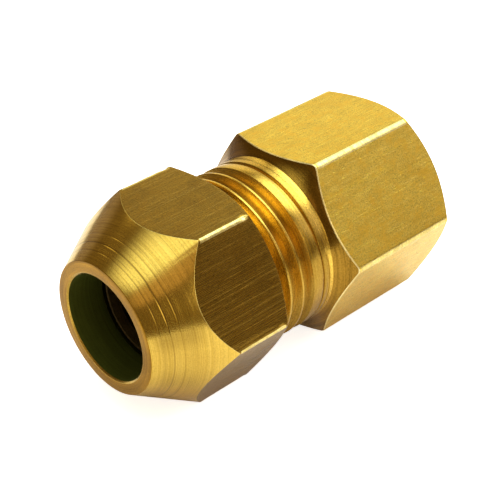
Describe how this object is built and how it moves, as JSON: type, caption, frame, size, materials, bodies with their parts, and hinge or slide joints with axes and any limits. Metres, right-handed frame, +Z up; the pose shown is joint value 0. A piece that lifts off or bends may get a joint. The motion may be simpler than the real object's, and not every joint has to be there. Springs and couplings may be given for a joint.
{
  "type": "flare fitting",
  "caption": "Brass 45 degree flare fitting: a hexagonal flare nut with a conical nose screws onto a hexagonal adapter with a female pipe thread.",
  "frame": {"origin": "bottom centre of the bounding box, on the surface that the fitting lies on", "axes": "+X along the fitting's axis, from the flare nut's nose to the adapter's rear face; +Z up"},
  "size_m": [0.0326, 0.0196, 0.0175],
  "materials": {
    "adapter_body": "satin drawn bar, turned ends",
    "flare_nut": "turned nose, drawn flats",
    "seal_ring": "soft annealed copper"
  },
  "bodies": {
    "adapter": {"adapter_body": "adapter_body"},
    "seal": {"seal_ring": "seal_ring"},
    "nut": {"flare_nut": "flare_nut"}
  },
  "joints": [
    {"name": "thread_travel", "type": "slide", "parent": "adapter", "child": "seal", "axis": [-1, 0, 0], "range_m": [-0.00031, 0.00494]},
    {"name": "nut_turn", "type": "hinge", "parent": "seal", "child": "nut", "pos_m": [-0.01635, 0, 0.00877], "axis": [-1, 0, 0], "range_deg": [-80, 1260]}
  ],
  "couplings": [
    {"joint": "nut_turn", "follows": "thread_travel", "rad_per_m": 4452.7}
  ]
}
